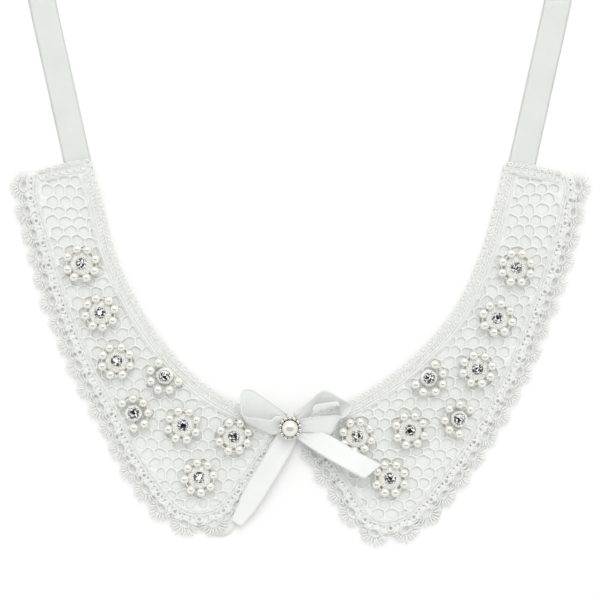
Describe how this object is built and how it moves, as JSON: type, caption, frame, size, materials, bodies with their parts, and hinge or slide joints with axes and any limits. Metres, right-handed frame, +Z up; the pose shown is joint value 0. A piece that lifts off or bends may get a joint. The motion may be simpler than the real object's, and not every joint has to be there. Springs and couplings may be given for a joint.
{
  "type": "lace collar",
  "caption": "Lace collar laid flat: satin lining, net lace with a fan edging, ribbon ties, pearl flowers round cut stones, and a ribbon bow with a pearl button.",
  "frame": {"origin": "on the surface that the collar lies on, under the middle of its box, ties included", "axes": "+Z up off the surface, +Y towards the free ends of the ribbon ties, +X to the wearer's left as the collar is seen from the front"},
  "size_m": [0.2638, 0.3676, 0.0141],
  "materials": {
    "lining_satin": "white woven satin with a soft sheen",
    "white_lace": "matt white embroidered guipure lace",
    "ribbon_satin": "white satin ribbon, woven edges, soft sheen",
    "pearl": "cream imitation pearl with a lustrous coat",
    "cut_stone": "clear faceted glass over a foil back",
    "dark_metal": "aged bronze-coloured cup with a beaded rim"
  },
  "bodies": {
    "root": {"lining_left": "lining_satin", "lining_right": "lining_satin", "lace_left": "white_lace", "lace_right": "white_lace", "ribbon_tie_left": "ribbon_satin", "ribbon_tie_right": "ribbon_satin", "bow_loop_left": "ribbon_satin", "bow_loop_right": "ribbon_satin", "bow_tail_left": "ribbon_satin", "bow_tail_right": "ribbon_satin", "bow_knot": "ribbon_satin", "button_setting": "dark_metal", "button_pearl": "pearl", "pearls_left_1": "pearl", "pearls_left_2": "pearl", "pearls_left_3": "pearl", "pearls_left_4": "pearl", "pearls_left_5": "pearl", "pearls_left_6": "pearl", "pearls_left_7": "pearl", "pearls_left_8": "pearl", "pearls_right_1": "pearl", "pearls_right_2": "pearl", "pearls_right_3": "pearl", "pearls_right_4": "pearl", "pearls_right_5": "pearl", "pearls_right_6": "pearl", "pearls_right_7": "pearl", "pearls_right_8": "pearl", "stone_left_1": "cut_stone", "stone_left_2": "cut_stone", "stone_left_3": "cut_stone", "stone_left_4": "cut_stone", "stone_left_5": "cut_stone", "stone_left_6": "cut_stone", "stone_left_7": "cut_stone", "stone_left_8": "cut_stone", "stone_right_1": "cut_stone", "stone_right_2": "cut_stone", "stone_right_3": "cut_stone", "stone_right_4": "cut_stone", "stone_right_5": "cut_stone", "stone_right_6": "cut_stone", "stone_right_7": "cut_stone", "stone_right_8": "cut_stone"}
  },
  "joints": []
}
